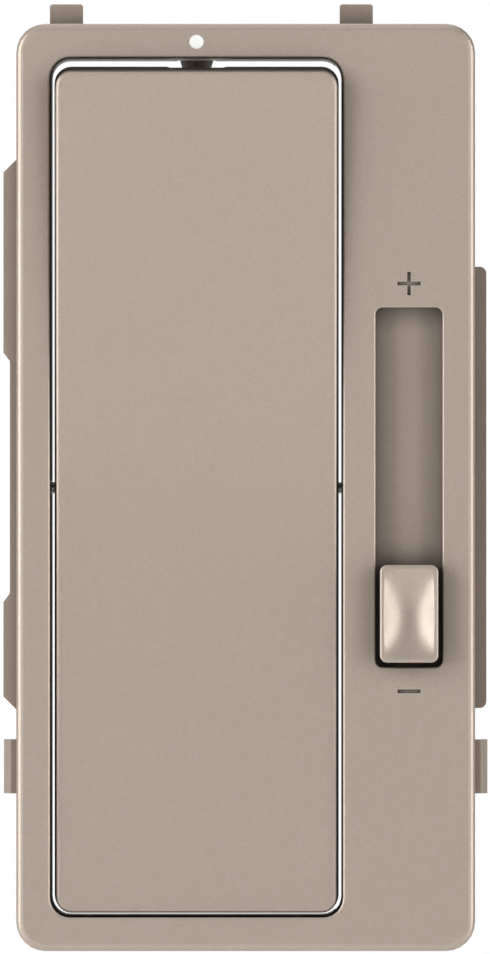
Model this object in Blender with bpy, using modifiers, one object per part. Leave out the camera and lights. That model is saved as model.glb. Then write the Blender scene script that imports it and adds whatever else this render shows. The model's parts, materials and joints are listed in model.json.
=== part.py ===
"""Clip-on face cover of a decorator-size slide dimmer: rocker paddle, slider and their works.

Units are metres. +Z is up and the cover faces -Y. The origin is the centre of the frame's
outline, on the plane of its rear edge, where the cover seats on the dimmer behind it.
"""
import math

import bmesh
import bpy

ASSEMBLY = "slide_dimmer_face_cover"

# Frame: the insert that fills a decorator wall plate
FRAME_WIDTH = 0.0330
FRAME_HEIGHT = 0.0667
FRAME_DEPTH = 0.0092
FRAME_CORNER = 0.0021
FRAME_FILLET = 0.0005
FACE_WALL = 0.0015
LEFT_RAIL = 0.00243
END_RAIL = 0.00243
COLUMN_WIDTH = 0.00951
OPENING_CORNER = 0.00142
OPENING_FILLET = 0.00018
OPENING_DRAFT = 0.00012

# Rocker
PADDLE_SIDE_GAP = 0.00042
PADDLE_END_GAP = 0.000665
PADDLE_CORNER = 0.0011
PADDLE_FILLET = 0.00025
PADDLE_DRAFT = 0.00014
PADDLE_END_DRAFT = 0.00026
PADDLE_DROP = 0.00013
PADDLE_WALL = 0.0011
PADDLE_RECESS = 0.0001
BEND_LENGTH = 0.0060
BEND_STEPS = 12
CAVITY_CORNER = 0.0003
ROCKER_TILT = math.radians(1.9)
PIVOT_DEPTH = 0.0062
PIN_DIAMETER = 0.0009
PIN_RUNNING_GAP = 0.0001
PIN_ENGAGEMENT = 0.0010
PIN_LIP_GAP = 0.00015
NOTCH_WIDTH = 0.00445
NOTCH_DEPTH = 0.0012
NOTCH_SLOPE = 0.0003
RIB_HEIGHT = 0.0009
RIB_WIDTH = 0.0008
RIB_SPACING = 0.0100
CRADLE_PLATE = 0.0011
CRADLE_RIM = 0.0009
POST_DIAMETER = 0.0030
POST_REACH = 0.0022
POST_HEIGHT_Z = 0.0130
EAR_HEIGHT = 0.00234
EAR_BACK = 0.00099
EAR_THICKNESS = 0.0016
PIN_INNER_LENGTH = 0.0020
TIP_LENGTH = 0.0010
TIP_END_DIAMETER = 0.0021
PLUG_DIAMETER = 0.0015
STAKE_DIAMETER = 0.0014
STAKE_SIDE_INSET = 0.0025
STAKE_END_INSET = 0.0082

# Slider
KNOB_WIDTH = 0.00419
KNOB_LENGTH = 0.00702
KNOB_PROUD = 0.0017
KNOB_DISH = 0.00075
KNOB_RIM = 0.0003
KNOB_FILLET = 0.00012
DISH_EDGE = 0.00002
DISH_CUTS = 11
KNOB_SIDE_GAP = 0.000315
KNOB_END_GAP = 0.00035
SLOT_CORNER = 0.00052
SLOT_FILLET = 0.00012
SHUTTER_LAP = 0.00035
SHUTTER_THICKNESS = 0.0006
SHUTTER_RUNNING_GAP = 0.00015
CHANNEL_END_WALL = 0.0016
CARRIAGE_LENGTH = 0.0090
CARRIAGE_THICKNESS = 0.0026
STEM_WIDTH = 0.0022
STEM_LENGTH = 0.0032
SOCKET_FLOOR = 0.0005
FORK_GAP = 0.0027
FORK_PRONG = 0.0011
FORK_WIDTH = 0.0022
FORK_REACH = 0.0022
SPRING_THICKNESS = 0.0002
SPRING_WIDTH = 0.0008
SPRING_LENGTH = 0.0078
SPRING_STEPS = 12
STOP_LENGTH = 0.0012
STOP_GAP = 0.0003
STOP_ROUNDING = 0.0002
COVER_THICKNESS = 0.0010
COVER_INSET = 0.0007
SCREW_DIAMETER = 0.0009
SCREW_HEAD = 0.0015
SCREW_HEAD_HEIGHT = 0.0005
SCREW_HEAD_TOP = 0.00129
RECESS_LENGTH = 0.00093
RECESS_WIDTH = 0.00024
RECESS_DEPTH = 0.00022
SCREW_LENGTH = 0.0034
KNOB_SCREW_LENGTH = 0.00187
SCREW_TURN = math.radians(50)
SCREW_END_INSET = 0.0052
COVER_FLANGE_CORNER = 0.00048

# Indicator
LIGHT_DIAMETER = 0.0010
LIGHT_INSET = 0.0013
LIGHT_LIP = 0.0006
PIPE_DIAMETER = 0.0011
PIPE_BEND = 0.00077
PIPE_BEND_STEPS = 4
HOOD_DIAMETER = 0.00244
HOOD_NECK = 0.0021
HOOD_NECK_DROP = 0.0006
HOOD_TIP = 0.0018
HOOD_AXIS_Y = -0.0001
HOOD_DROP = 0.0022

# Flanges, tabs and latches
FLANGE_THICKNESS = 0.0011
LEFT_FLANGE_REACH = 0.00101
LEFT_FLANGE_WAIST = 0.00054
LEFT_FLANGE_TOP = 0.02376
LEFT_FLANGE_BOTTOM = -0.01611
LEFT_WAIST_TOP = 0.00974
LEFT_WAIST_BOTTOM = -0.00828
FLANGE_CHAMFER = 0.00062
RIGHT_FLANGE_REACH = 0.00089
RIGHT_FLANGE_HALF = 0.01594
SIDE_TAB_REACH = 0.00095
SIDE_TAB_CENTRE = -0.02014
SIDE_TAB_LENGTH = 0.00388
SIDE_TAB_DEPTH = 0.0030
TOP_TAB_WIDTH = 0.0024
TOP_TAB_REACH = 0.00155
TOP_TAB_CORNER = 0.0002
TOP_TAB_LEFT_SHIFT = 0.00008
TOP_TAB_RIGHT_SHIFT = 0.0002
LATCH_WIDTH = 0.0036
LATCH_THICKNESS = 0.0009
LATCH_LENGTH = 0.0034
LATCH_BARB = 0.00045
LATCH_END_OFFSET = 0.0070
LATCH_LEFT_HEIGHT = 0.0127
CORE_WIDTH = 0.0009
CORE_RIB = 0.0008
CORE_START = 0.0024
CORE_END_INSET = 0.0015

# Engraved brighter and dimmer signs
SIGN_LENGTH = 0.00167
SIGN_STROKE = 0.00027
SIGN_DEPTH = 0.00025
SIGN_GAP = 0.00172

FIT_GAP = 0.0003
SNUG_GAP = 0.0002
CUT_MARGIN = 0.0005
EMBED = 0.0004
UNION_LAP = 0.00001
CAP_WELD = 0.000001
SMOOTH_ANGLE = math.radians(35)
CORNER_STEPS = 6
FILLET_STEPS = 4
ROUND_SEGMENTS = 32
POST_SEGMENTS = 24
BORE_SEGMENTS = 20
STAKE_SEGMENTS = 16

# What follows from the sizes above
FACE_Y = -FRAME_DEPTH
OPENING_LEFT = -FRAME_WIDTH / 2 + LEFT_RAIL
OPENING_RIGHT = FRAME_WIDTH / 2 - COLUMN_WIDTH
OPENING_WIDTH = OPENING_RIGHT - OPENING_LEFT
OPENING_HEIGHT = FRAME_HEIGHT - 2 * END_RAIL
OPENING_X = (OPENING_LEFT + OPENING_RIGHT) / 2
SLIDER_X = (OPENING_RIGHT + FRAME_WIDTH / 2) / 2
PADDLE_FRONT_WIDTH = OPENING_WIDTH - 2 * PADDLE_SIDE_GAP
PADDLE_FRONT_HEIGHT = OPENING_HEIGHT - 2 * PADDLE_END_GAP
PIVOT_Y = FACE_Y + PADDLE_RECESS + PIVOT_DEPTH
PADDLE_LIP_Y = -PIN_DIAMETER / 2 - PIN_LIP_GAP
CAVITY_Y = -PIVOT_DEPTH + PADDLE_WALL
CRADLE_Y = CAVITY_Y + FIT_GAP
CHANNEL_HALF = FRAME_HEIGHT / 2 - CHANNEL_END_WALL
SLOT_WIDTH = KNOB_WIDTH + 2 * KNOB_SIDE_GAP
SLOT_LENGTH = (CHANNEL_HALF + KNOB_LENGTH + 2 * KNOB_END_GAP - SHUTTER_LAP - FIT_GAP) / 1.5
SLIDER_TRAVEL = SLOT_LENGTH - KNOB_LENGTH - 2 * KNOB_END_GAP
SLIDER_REST_Z = -SLIDER_TRAVEL / 2
SHUTTER_LENGTH = SLOT_LENGTH + SLIDER_TRAVEL + 2 * SHUTTER_LAP
SHUTTER_WIDTH = SLOT_WIDTH + 2 * SHUTTER_LAP
CHANNEL_WIDTH = SHUTTER_WIDTH + 2 * SHUTTER_RUNNING_GAP
CHANNEL_Y = FACE_Y + FACE_WALL
SHUTTER_Y = CHANNEL_Y + FIT_GAP
CARRIAGE_Y = SHUTTER_Y + SHUTTER_THICKNESS + FIT_GAP
CARRIAGE_BACK_Y = CARRIAGE_Y + CARRIAGE_THICKNESS
COVER_BACK_Y = -COVER_INSET
COVER_FRONT_Y = COVER_BACK_Y - COVER_THICKNESS
COLUMN_BACK_Y = COVER_FRONT_Y - FIT_GAP
LIGHT_X = OPENING_X
LIGHT_Z = FRAME_HEIGHT / 2 - LIGHT_INSET
FLANGE_BACK_Y = -COVER_INSET
FLANGE_FRONT_Y = FLANGE_BACK_Y - FLANGE_THICKNESS

parts = bpy.data.collections.new(ASSEMBLY)
tools = bpy.data.collections.new("cutters")


def clear_scene():
    """Remove every object that the file opened with."""
    for item in list(bpy.data.objects):
        bpy.data.objects.remove(item, do_unlink=True)
    bpy.context.scene.collection.children.link(parts)
    bpy.context.scene.collection.children.link(tools)


def material(name, colour, roughness, metallic=0.0, transmission=0.0):
    """A Principled material of one colour."""
    made = bpy.data.materials.new(name)
    made.use_nodes = True
    shader = made.node_tree.nodes["Principled BSDF"]
    shader.inputs["Base Color"].default_value = (*colour, 1.0)
    shader.inputs["Roughness"].default_value = roughness
    shader.inputs["Metallic"].default_value = metallic
    shader.inputs["Transmission Weight"].default_value = transmission
    return made


def link(mesh_builder, name, collection):
    """Turn a bmesh into an object with outward faces and smooth round sides."""
    bmesh.ops.recalc_face_normals(mesh_builder, faces=mesh_builder.faces)
    mesh = bpy.data.meshes.new(name)
    mesh_builder.to_mesh(mesh)
    mesh_builder.free()
    mesh.shade_smooth()
    mesh.set_sharp_from_angle(angle=SMOOTH_ANGLE)
    made = bpy.data.objects.new(name, mesh)
    collection.objects.link(made)
    if collection is tools:
        made.hide_render = True
        made.display_type = "WIRE"
    return made


def box(name, low, high, collection=tools, bevel=0.0):
    """A box between two corners, with its edges rounded where a bevel is given."""
    builder = bmesh.new()
    bmesh.ops.create_cube(builder, size=1.0)
    for vertex in builder.verts:
        for axis in range(3):
            middle = (low[axis] + high[axis]) / 2
            vertex.co[axis] = middle + vertex.co[axis] * (high[axis] - low[axis])
    made = link(builder, name, collection)
    if bevel:
        rounding = made.modifiers.new("edge_round", "BEVEL")
        rounding.width = bevel
        rounding.segments = 2
        rounding.limit_method = "ANGLE"
    return made


def rod(name, diameter, start, end, axis, collection=tools, end_diameter=None, segments=ROUND_SEGMENTS):
    """A cylinder or cone along a world axis, from one centre point by the distance to the other."""
    builder = bmesh.new()
    length = end[axis] - start[axis]
    far_diameter = diameter if end_diameter is None else end_diameter
    bmesh.ops.create_cone(builder, cap_ends=True, segments=segments, radius1=diameter / 2,
                          radius2=far_diameter / 2, depth=length)
    turn = {0: (0, math.pi / 2, 0), 1: (-math.pi / 2, 0, 0), 2: (0, 0, 0)}[axis]
    made = link(builder, name, collection)
    made.rotation_euler = turn
    made.location = [(a + b) / 2 for a, b in zip(start, end)]
    return made


def rounded_outline(width, height, radius):
    """The points (x, z) of a rounded rectangle about the origin."""
    points = []
    for corner, (side_x, side_z) in enumerate(((1, 1), (-1, 1), (-1, -1), (1, -1))):
        for step in range(CORNER_STEPS + 1):
            angle = math.pi / 2 * (corner + step / CORNER_STEPS)
            x = side_x * (width / 2 - radius) + radius * math.cos(angle)
            z = side_z * (height / 2 - radius) + radius * math.sin(angle)
            points.append((x, z))
    return points


def loft(name, sections, centre=(0.0, 0.0), collection=tools):
    """A solid through rounded rectangles, each given as (y, width, height, corner radius)."""
    builder = bmesh.new()
    rings = []
    for y, width, height, radius in sections:
        outline = rounded_outline(width, height, radius)
        rings.append([builder.verts.new((centre[0] + x, y, centre[1] + z)) for x, z in outline])
    for ring, following in zip(rings, rings[1:]):
        for index in range(len(ring)):
            after = (index + 1) % len(ring)
            builder.faces.new((ring[index], ring[after], following[after], following[index]))
    builder.faces.new(rings[0])
    builder.faces.new(rings[-1])
    return link(builder, name, collection)


def filleted_sections(front_y, back_y, width, height, radius, fillet, side_draft=0.0, end_draft=0.0):
    """Sections of a block whose front edge is filleted and which widens by the drafts to its back."""
    sections = []
    for step in range(FILLET_STEPS + 1):
        angle = math.pi / 2 * step / FILLET_STEPS
        inset = fillet * (1 - math.sin(angle))
        y = front_y + fillet * (1 - math.cos(angle))
        sections.append((y, width - 2 * inset, height - 2 * inset, radius - inset))
    sections.append((back_y, width + 2 * side_draft, height + 2 * end_draft, radius + side_draft))
    return sections


def mouth_sections(front_y, back_y, width, height, radius, fillet, draft):
    """Sections of a cutter whose mouth flares by the fillet and which narrows by the draft."""
    sections = [(front_y - CUT_MARGIN, width + 2 * fillet, height + 2 * fillet, radius + fillet)]
    for step in range(FILLET_STEPS + 1):
        angle = math.pi / 2 * step / FILLET_STEPS
        flare = fillet * (1 - math.sin(angle))
        y = front_y + fillet * (1 - math.cos(angle))
        sections.append((y, width + 2 * flare, height + 2 * flare, radius + flare))
    sections.append((back_y, width - 2 * draft, height - 2 * draft, radius - draft))
    return sections


def extruded_outline(name, points, plane, low, high, collection=tools):
    """A flat outline, drawn in a named plane and extruded between two distances from it."""
    curve = bpy.data.curves.new(name, "CURVE")
    curve.dimensions = "2D"
    curve.fill_mode = "BOTH"
    curve.extrude = (high - low) / 2
    spline = curve.splines.new("POLY")
    spline.points.add(len(points) - 1)
    for point, (across, along) in zip(spline.points, points):
        point.co = (across, along, 0.0, 1.0)
    spline.use_cyclic_u = True
    flat = bpy.data.objects.new(name + "_outline", curve)
    bpy.context.scene.collection.objects.link(flat)
    middle = (low + high) / 2
    if plane == "XZ":
        flat.rotation_euler = (math.pi / 2, 0, 0)
        flat.location = (0, middle, 0)
    elif plane == "XY":
        flat.location = (0, 0, middle)
    else:
        flat.rotation_euler = (math.pi / 2, 0, math.pi / 2)
        flat.location = (middle, 0, 0)
    made = curve_to_mesh(flat, name, collection)
    return made


def curve_to_mesh(flat, name, collection):
    """A closed mesh object in place of a curve object, with its caps welded."""
    bpy.context.view_layer.update()
    depsgraph = bpy.context.evaluated_depsgraph_get()
    mesh = bpy.data.meshes.new_from_object(flat.evaluated_get(depsgraph))
    builder = bmesh.new()
    builder.from_mesh(mesh)
    bmesh.ops.remove_doubles(builder, verts=builder.verts, dist=CAP_WELD)
    placed = flat.matrix_world.copy()
    bpy.data.objects.remove(flat, do_unlink=True)
    bpy.data.meshes.remove(mesh)
    made = link(builder, name, collection)
    made.matrix_world = placed
    return made


def combine(target, tool, operation):
    """Cut a tool from a target, or join it on, with an exact Boolean."""
    step = target.modifiers.new(operation.lower() + "_" + tool.name, "BOOLEAN")
    step.operation = operation
    step.object = tool
    step.solver = "EXACT"


def cut(target, *cutters):
    for cutter in cutters:
        combine(target, cutter, "DIFFERENCE")


def join(target, *pieces):
    for piece in pieces:
        combine(target, piece, "UNION")


def carried(pieces, parent):
    """Parent pieces that were modelled about the parent's origin, with their Boolean tools."""
    for piece in pieces:
        piece.parent = parent
        for step in piece.modifiers:
            if step.type == "BOOLEAN":
                step.object.parent = parent


def empty(name, location):
    made = bpy.data.objects.new(name, None)
    parts.objects.link(made)
    made.location = location
    return made


# ---------------------------------------------------------------- frame

def latch(name, x, z, inward):
    """A snap latch behind a rail: an arm with a barb that points inward along X or Z."""
    barb_y = LATCH_LENGTH - 2 * LATCH_BARB
    run = [(-EMBED, -LATCH_THICKNESS / 2), (LATCH_LENGTH, -LATCH_THICKNESS / 2),
           (LATCH_LENGTH, LATCH_THICKNESS / 4), (barb_y + LATCH_BARB / 2, LATCH_THICKNESS / 2 + LATCH_BARB),
           (barb_y, LATCH_THICKNESS / 2 + LATCH_BARB),
           (barb_y, LATCH_THICKNESS / 2), (-EMBED, LATCH_THICKNESS / 2)]
    if inward[1]:
        outline = [(y, z + inward[1] * side) for y, side in run]
        return extruded_outline(name, outline, "YZ", x - LATCH_WIDTH / 2, x + LATCH_WIDTH / 2)
    outline = [(x + inward[0] * side, y) for y, side in run]
    return extruded_outline(name, outline, "XY", z - LATCH_WIDTH / 2, z + LATCH_WIDTH / 2)


def latches():
    """Two latches behind each end rail and two behind the left rail."""
    made = []
    rail_z = FRAME_HEIGHT / 2 - END_RAIL / 2
    for side in (1, -1):
        for column in (-1, 1):
            x = OPENING_X + column * LATCH_END_OFFSET
            made.append(latch(f"latch_end_{side}_{column}", x, side * rail_z, (0, -side)))
        z = side * LATCH_LEFT_HEIGHT
        made.append(latch(f"latch_left_{side}", -FRAME_WIDTH / 2 + LEFT_RAIL / 2, z, (1, 0)))
    return made


def left_flange():
    """The waisted flange that lies behind the wall plate on the left."""
    edge = -FRAME_WIDTH / 2
    reach = edge - LEFT_FLANGE_REACH
    waist = edge - LEFT_FLANGE_WAIST
    root = edge + EMBED
    outline = [(root, LEFT_FLANGE_TOP), (edge, LEFT_FLANGE_TOP),
               (reach, LEFT_FLANGE_TOP - LEFT_FLANGE_REACH),
               (reach, LEFT_WAIST_TOP), (waist, LEFT_WAIST_TOP - FLANGE_CHAMFER),
               (waist, LEFT_WAIST_BOTTOM + FLANGE_CHAMFER), (reach, LEFT_WAIST_BOTTOM),
               (reach, LEFT_FLANGE_BOTTOM + LEFT_FLANGE_REACH), (edge, LEFT_FLANGE_BOTTOM),
               (root, LEFT_FLANGE_BOTTOM)]
    return extruded_outline("left_flange", outline, "XZ", FLANGE_FRONT_Y, FLANGE_BACK_Y)


def side_tab(name, side):
    """A ramped nib beside the frame, low on each flank."""
    edge = side * FRAME_WIDTH / 2
    tip = edge + side * SIDE_TAB_REACH
    root = edge - side * EMBED
    front = FLANGE_BACK_Y - SIDE_TAB_DEPTH
    outline = [(root, FLANGE_BACK_Y), (tip, FLANGE_BACK_Y), (tip, front + SIDE_TAB_REACH),
               (edge + side * SIDE_TAB_REACH / 2, front), (root, front)]
    low = SIDE_TAB_CENTRE - SIDE_TAB_LENGTH / 2
    return extruded_outline(name, outline, "XY", low, low + SIDE_TAB_LENGTH)


def top_tabs():
    """The two tabs that reach above the frame, over the ends of the paddle opening."""
    made = []
    edge = FRAME_HEIGHT / 2
    height = TOP_TAB_REACH + EMBED
    sections = [(y, TOP_TAB_WIDTH, height, TOP_TAB_CORNER) for y in (FLANGE_FRONT_Y, FLANGE_BACK_Y)]
    for name, low_x in (("top_tab_left", OPENING_LEFT - TOP_TAB_LEFT_SHIFT),
                        ("top_tab_right", OPENING_RIGHT - TOP_TAB_RIGHT_SHIFT)):
        made.append(loft(name, sections, (low_x + TOP_TAB_WIDTH / 2, edge - EMBED + height / 2)))
    return made


def core_pockets():
    """Pockets that thin the rails from behind, with ribs left between them."""
    made = []
    front = FACE_Y + FACE_WALL
    rail_x = -FRAME_WIDTH / 2 + LEFT_RAIL / 2
    latch_low = LATCH_LEFT_HEIGHT - LATCH_WIDTH / 2 - CORE_RIB
    latch_high = LATCH_LEFT_HEIGHT + LATCH_WIDTH / 2 + CORE_RIB
    end = FRAME_HEIGHT / 2 - END_RAIL - CORE_END_INSET
    middle = (latch_high + end) / 2
    spans = ((CORE_START, latch_low), (latch_high, middle - CORE_RIB / 2), (middle + CORE_RIB / 2, end))
    for side in (1, -1):
        for index, (start, end) in enumerate(spans):
            low, high = sorted((side * start, side * end))
            made.append(box(f"core_left_{side}_{index}", (rail_x - CORE_WIDTH / 2, front, low),
                            (rail_x + CORE_WIDTH / 2, CUT_MARGIN, high)))
    return made


def sign_cutters():
    """The engraved plus above the slot and minus below it."""
    made = []
    back = FACE_Y + SIGN_DEPTH
    front = FACE_Y - CUT_MARGIN
    for name, z in (("plus", SLOT_LENGTH / 2 + SIGN_GAP), ("minus", -SLOT_LENGTH / 2 - SIGN_GAP)):
        made.append(box(f"{name}_bar", (SLIDER_X - SIGN_LENGTH / 2, front, z - SIGN_STROKE / 2),
                        (SLIDER_X + SIGN_LENGTH / 2, back, z + SIGN_STROKE / 2)))
    z = SLOT_LENGTH / 2 + SIGN_GAP
    made.append(box("plus_upright", (SLIDER_X - SIGN_STROKE / 2, front, z - SIGN_LENGTH / 2),
                    (SLIDER_X + SIGN_STROKE / 2, back, z + SIGN_LENGTH / 2)))
    return made


def screw_places():
    """Where the four slider cover screws go, on the column's two rails."""
    rail = (COLUMN_WIDTH - CHANNEL_WIDTH) / 2
    places = []
    for side_z, level in ((1, "top"), (-1, "bottom")):
        z = side_z * (FRAME_HEIGHT / 2 - SCREW_END_INSET)
        places.append((f"cover_screw_{level}_left", OPENING_RIGHT + rail / 2, z))
        places.append((f"cover_screw_{level}_right", FRAME_WIDTH / 2 - rail / 2, z))
    return places


def face_frame(paint):
    """The painted frame: one moulding with its rails, flanges, tabs and latches."""
    frame = loft("face_frame", filleted_sections(FACE_Y, 0.0, FRAME_WIDTH, FRAME_HEIGHT, FRAME_CORNER,
                                                 FRAME_FILLET), collection=parts)
    join(frame, left_flange(), side_tab("side_tab_left", -1), side_tab("side_tab_right", 1), *top_tabs())
    join(frame, *latches())
    opening = loft("paddle_opening", mouth_sections(FACE_Y, CUT_MARGIN, OPENING_WIDTH, OPENING_HEIGHT,
                                                    OPENING_CORNER, OPENING_FILLET, OPENING_DRAFT),
                   (OPENING_X, 0.0))
    slot = loft("slider_slot", mouth_sections(FACE_Y, CHANNEL_Y + CUT_MARGIN, SLOT_WIDTH, SLOT_LENGTH,
                                              SLOT_CORNER, SLOT_FILLET, 0.0), (SLIDER_X, 0.0))
    channel = box("slider_channel", (SLIDER_X - CHANNEL_WIDTH / 2, CHANNEL_Y, -CHANNEL_HALF),
                  (SLIDER_X + CHANNEL_WIDTH / 2, CUT_MARGIN, CHANNEL_HALF))
    seat = box("slider_cover_seat", (OPENING_RIGHT - CUT_MARGIN, COLUMN_BACK_Y, -CHANNEL_HALF - FIT_GAP),
               (FRAME_WIDTH / 2 + CUT_MARGIN, CUT_MARGIN, CHANNEL_HALF + FIT_GAP))
    cut(frame, opening, slot, channel, seat)
    cut(frame, *core_pockets(), *sign_cutters())
    hole = rod("light_hole", LIGHT_DIAMETER, (LIGHT_X, FACE_Y - CUT_MARGIN, LIGHT_Z),
               (LIGHT_X, FACE_Y + LIGHT_LIP + CUT_MARGIN, LIGHT_Z), 1)
    bore = rod("light_bore", PIPE_DIAMETER + 2 * SNUG_GAP, (LIGHT_X, FACE_Y + LIGHT_LIP, LIGHT_Z),
               (LIGHT_X, CUT_MARGIN, LIGHT_Z), 1)
    hood_pocket = box("hood_pocket",
                      (LIGHT_X - HOOD_DIAMETER / 2 - SNUG_GAP, HOOD_AXIS_Y - HOOD_DIAMETER / 2 - SNUG_GAP,
                       OPENING_HEIGHT / 2 - CUT_MARGIN),
                      (LIGHT_X + HOOD_DIAMETER / 2 + SNUG_GAP, CUT_MARGIN, hood_top() + SNUG_GAP))
    cut(frame, hole, bore, hood_pocket)
    for name, start, end in pin_spans():
        bearing = rod(f"{name}_bearing", PIN_DIAMETER + 2 * PIN_RUNNING_GAP,
                      (min(start, end) - SNUG_GAP, PIVOT_Y, 0), (max(start, end) + SNUG_GAP, PIVOT_Y, 0), 0)
        cut(frame, bearing)
    for name, x, z in screw_places():
        pilot = rod(f"{name}_pilot", SCREW_DIAMETER + 2 * PIN_RUNNING_GAP,
                    (x, COVER_BACK_Y - SCREW_LENGTH - FIT_GAP, z), (x, CUT_MARGIN, z), 1,
                    segments=BORE_SEGMENTS)
        cut(frame, pilot)
    frame.data.materials.append(paint)
    return frame


# ---------------------------------------------------------------- indicator

def hood_top():
    return LIGHT_Z + PIPE_DIAMETER / 2 + SNUG_GAP


def light_pipe(clear):
    """A bent light pipe: it looks out of the frame and turns down into the hood."""
    front = FACE_Y + LIGHT_LIP + SNUG_GAP
    curve = bpy.data.curves.new("light_pipe_route", "CURVE")
    curve.dimensions = "3D"
    curve.bevel_depth = PIPE_DIAMETER / 2
    curve.bevel_resolution = 3
    curve.use_fill_caps = True
    route = [(LIGHT_X, front, LIGHT_Z)]
    for step in range(PIPE_BEND_STEPS + 1):
        angle = math.pi / 2 * step / PIPE_BEND_STEPS
        route.append((LIGHT_X, HOOD_AXIS_Y - PIPE_BEND * (1 - math.sin(angle)),
                      LIGHT_Z - PIPE_BEND * (1 - math.cos(angle))))
    route.append((LIGHT_X, HOOD_AXIS_Y, OPENING_HEIGHT / 2 - HOOD_DROP - SNUG_GAP))
    spline = curve.splines.new("POLY")
    spline.points.add(len(route) - 1)
    for point, place in zip(spline.points, route):
        point.co = (*place, 1.0)
    flat = bpy.data.objects.new("light_pipe_route", curve)
    bpy.context.scene.collection.objects.link(flat)
    pipe = curve_to_mesh(flat, "light_pipe", parts)
    pipe.data.materials.append(clear)
    return pipe


def light_hood(dark):
    """The opaque sleeve round the pipe, which hangs from the top rail behind the paddle's edge."""
    edge = OPENING_HEIGHT / 2
    neck_z = edge - HOOD_NECK_DROP
    tip_z = edge - HOOD_DROP
    hood = rod("light_pipe_hood", HOOD_DIAMETER, (LIGHT_X, HOOD_AXIS_Y, edge),
               (LIGHT_X, HOOD_AXIS_Y, hood_top()), 2, parts)
    neck = rod("hood_neck", HOOD_NECK, (LIGHT_X, HOOD_AXIS_Y, neck_z),
               (LIGHT_X, HOOD_AXIS_Y, edge + UNION_LAP), 2, end_diameter=HOOD_DIAMETER)
    tip = rod("hood_tip", HOOD_TIP, (LIGHT_X, HOOD_AXIS_Y, tip_z),
              (LIGHT_X, HOOD_AXIS_Y, neck_z + UNION_LAP), 2, end_diameter=HOOD_NECK)
    join(hood, neck, tip)
    bore = PIPE_DIAMETER + 2 * PIN_RUNNING_GAP
    cut(hood, rod("hood_bore", bore, (LIGHT_X, HOOD_AXIS_Y, tip_z - CUT_MARGIN),
                  (LIGHT_X, HOOD_AXIS_Y, hood_top() + CUT_MARGIN), 2),
        rod("hood_port", bore, (LIGHT_X, HOOD_AXIS_Y - HOOD_DIAMETER, LIGHT_Z),
            (LIGHT_X, HOOD_AXIS_Y, LIGHT_Z), 1),
        box("hood_port_slot", (LIGHT_X - bore / 2, HOOD_AXIS_Y - HOOD_DIAMETER, LIGHT_Z),
            (LIGHT_X + bore / 2, HOOD_AXIS_Y, hood_top() + CUT_MARGIN)))
    hood.data.materials.append(dark)
    return hood


# ---------------------------------------------------------------- rocker, about its pivot

def cavity_size():
    """Inside width and height of the paddle's shell."""
    return (PADDLE_FRONT_WIDTH - 2 * PADDLE_WALL, PADDLE_FRONT_HEIGHT - 2 * PADDLE_WALL)


def stake_places():
    width, height = cavity_size()
    x = width / 2 - STAKE_SIDE_INSET
    z = height / 2 - STAKE_END_INSET
    return [(side_x * x, side_z * z) for side_x in (1, -1) for side_z in (1, -1)]


def face_rise(z):
    """How far the face stands out at a height: its halves lean by the tilt and meet in a soft bend."""
    return math.tan(ROCKER_TILT) * (math.hypot(z, BEND_LENGTH) - BEND_LENGTH)


def bend_face(piece, front_y, back_y):
    """Cut a piece into strips along its height and push their fronts out by the face's rise."""
    builder = bmesh.new()
    builder.from_mesh(piece.data)
    for step in range(1 - BEND_STEPS, BEND_STEPS):
        level = PADDLE_FRONT_HEIGHT / 2 * step / BEND_STEPS
        everything = builder.verts[:] + builder.edges[:] + builder.faces[:]
        bmesh.ops.bisect_plane(builder, geom=everything, plane_co=(0, 0, level), plane_no=(0, 0, 1))
    for vertex in builder.verts:
        share = (back_y - vertex.co.y) / (back_y - front_y)
        vertex.co.y -= share * face_rise(vertex.co.z)
    builder.to_mesh(piece.data)
    builder.free()


def rocker_paddle(paint):
    """The painted paddle: a drafted shell with a softly bent face and heat stakes inside."""
    centre = (0.0, -PADDLE_DROP)
    paddle = loft("rocker_paddle", filleted_sections(-PIVOT_DEPTH, PADDLE_LIP_Y, PADDLE_FRONT_WIDTH,
                                                     PADDLE_FRONT_HEIGHT, PADDLE_CORNER, PADDLE_FILLET,
                                                     PADDLE_DRAFT, PADDLE_END_DRAFT), centre, parts)
    bend_face(paddle, -PIVOT_DEPTH, PADDLE_LIP_Y)
    width, height = cavity_size()
    sections = [(y, width, height, CAVITY_CORNER) for y in (CAVITY_Y, PADDLE_LIP_Y + CUT_MARGIN)]
    cavity = loft("paddle_cavity", sections, centre)
    bend_face(cavity, CAVITY_Y, PADDLE_LIP_Y + CUT_MARGIN)
    cut(paddle, cavity)
    light_x = LIGHT_X - OPENING_X
    half = NOTCH_WIDTH / 2
    floor_y = PADDLE_LIP_Y - NOTCH_DEPTH
    outline = [(light_x - half + NOTCH_SLOPE, floor_y), (light_x + half - NOTCH_SLOPE, floor_y),
               (light_x + half, PADDLE_LIP_Y + CUT_MARGIN), (light_x - half, PADDLE_LIP_Y + CUT_MARGIN)]
    cut(paddle, extruded_outline("paddle_notch", outline, "XY",
                                 height / 2 - PADDLE_DROP - CUT_MARGIN,
                                 PADDLE_FRONT_HEIGHT / 2 + PADDLE_END_DRAFT + CUT_MARGIN))
    for name, x, z in ((f"stake_{i}", *place) for i, place in enumerate(stake_places())):
        join(paddle, rod(name, STAKE_DIAMETER, (x, CAVITY_Y - face_rise(z) - EMBED, z),
                         (x, CRADLE_Y + CRADLE_PLATE + FIT_GAP, z), 1, segments=STAKE_SEGMENTS))
    paddle.data.materials.append(paint)
    return paddle


def cradle_size():
    width, height = cavity_size()
    return (width - 2 * SNUG_GAP, height - 2 * SNUG_GAP - 2 * PADDLE_DROP)


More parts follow.
